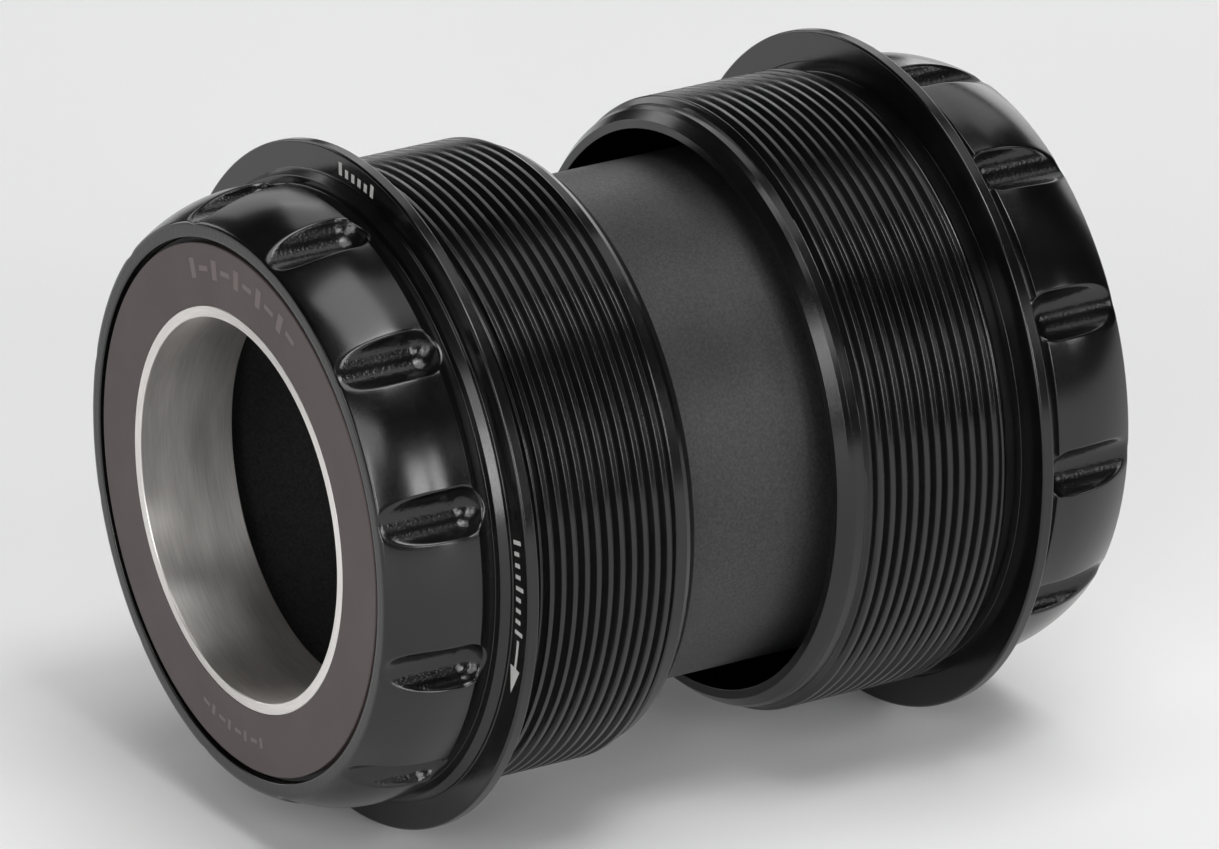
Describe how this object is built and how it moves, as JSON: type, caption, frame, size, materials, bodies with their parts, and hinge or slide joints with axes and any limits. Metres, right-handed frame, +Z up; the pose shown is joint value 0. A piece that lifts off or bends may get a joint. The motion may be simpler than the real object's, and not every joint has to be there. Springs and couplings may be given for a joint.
{
  "type": "bottom bracket",
  "caption": "Threaded outboard bicycle bottom bracket: two notched, flanged cups with sealed thin-section bearings, joined by a telescoping centre sleeve.",
  "frame": {"origin": "on the spindle axis, midway between the outboard noses of the two cups as they stand pushed together", "axes": "+Y along the spindle axis towards the left-hand cup, +X towards the front of the bicycle, +Z up"},
  "size_m": [0.052, 0.0642, 0.052],
  "materials": {
    "black_anodised_aluminium": "polished black anodising",
    "bearing_steel": "ground",
    "ball_steel": "polished",
    "cage_nylon": "moulded",
    "seal_rubber": "matte",
    "cover_plastic": "satin moulded",
    "sleeve_plastic": "fine grained moulded"
  },
  "bodies": {
    "left_cup_body": {"left_cup": "black_anodised_aluminium", "left_bearing_outer_ring": "bearing_steel", "left_bearing_outboard_seal": "seal_rubber", "left_bearing_inboard_seal": "seal_rubber"},
    "left_rotor": {"left_bearing_inner_ring": "bearing_steel", "left_dust_cover": "cover_plastic", "left_cover_lip_seal": "seal_rubber"},
    "left_ball_train": {"left_bearing_balls": "ball_steel", "left_bearing_cage": "cage_nylon"},
    "sleeve": {"centre_sleeve": "sleeve_plastic", "left_sleeve_o_ring": "seal_rubber", "right_sleeve_o_ring": "seal_rubber"},
    "right_cup_body": {"right_cup": "black_anodised_aluminium", "right_bearing_outer_ring": "bearing_steel", "right_bearing_outboard_seal": "seal_rubber", "right_bearing_inboard_seal": "seal_rubber"},
    "right_rotor": {"right_bearing_inner_ring": "bearing_steel", "right_dust_cover": "cover_plastic", "right_cover_lip_seal": "seal_rubber"},
    "right_ball_train": {"right_bearing_balls": "ball_steel", "right_bearing_cage": "cage_nylon"}
  },
  "joints": [
    {"name": "left_spindle_spin", "type": "hinge", "parent": "left_cup_body", "child": "left_rotor", "pos_m": [0, 0.0274, 0], "axis": [0, 1, 0], "continuous": true},
    {"name": "left_ball_orbit", "type": "hinge", "parent": "left_cup_body", "child": "left_ball_train", "pos_m": [0, 0.0274, 0], "axis": [0, 1, 0], "continuous": true},
    {"name": "sleeve_slide", "type": "slide", "parent": "left_cup_body", "child": "sleeve", "axis": [0, -1, 0], "range_m": [0, 0.01235]},
    {"name": "right_cup_slide", "type": "slide", "parent": "sleeve", "child": "right_cup_body", "axis": [0, -1, 0], "range_m": [0, 0.01235]},
    {"name": "right_spindle_spin", "type": "hinge", "parent": "right_cup_body", "child": "right_rotor", "pos_m": [0, -0.0274, 0], "axis": [0, 1, 0], "continuous": true},
    {"name": "right_ball_orbit", "type": "hinge", "parent": "right_cup_body", "child": "right_ball_train", "pos_m": [0, -0.0274, 0], "axis": [0, 1, 0], "continuous": true}
  ],
  "couplings": [
    {"joint": "left_ball_orbit", "follows": "left_spindle_spin", "ratio": 0.4547},
    {"joint": "right_ball_orbit", "follows": "right_spindle_spin", "ratio": 0.4547}
  ]
}
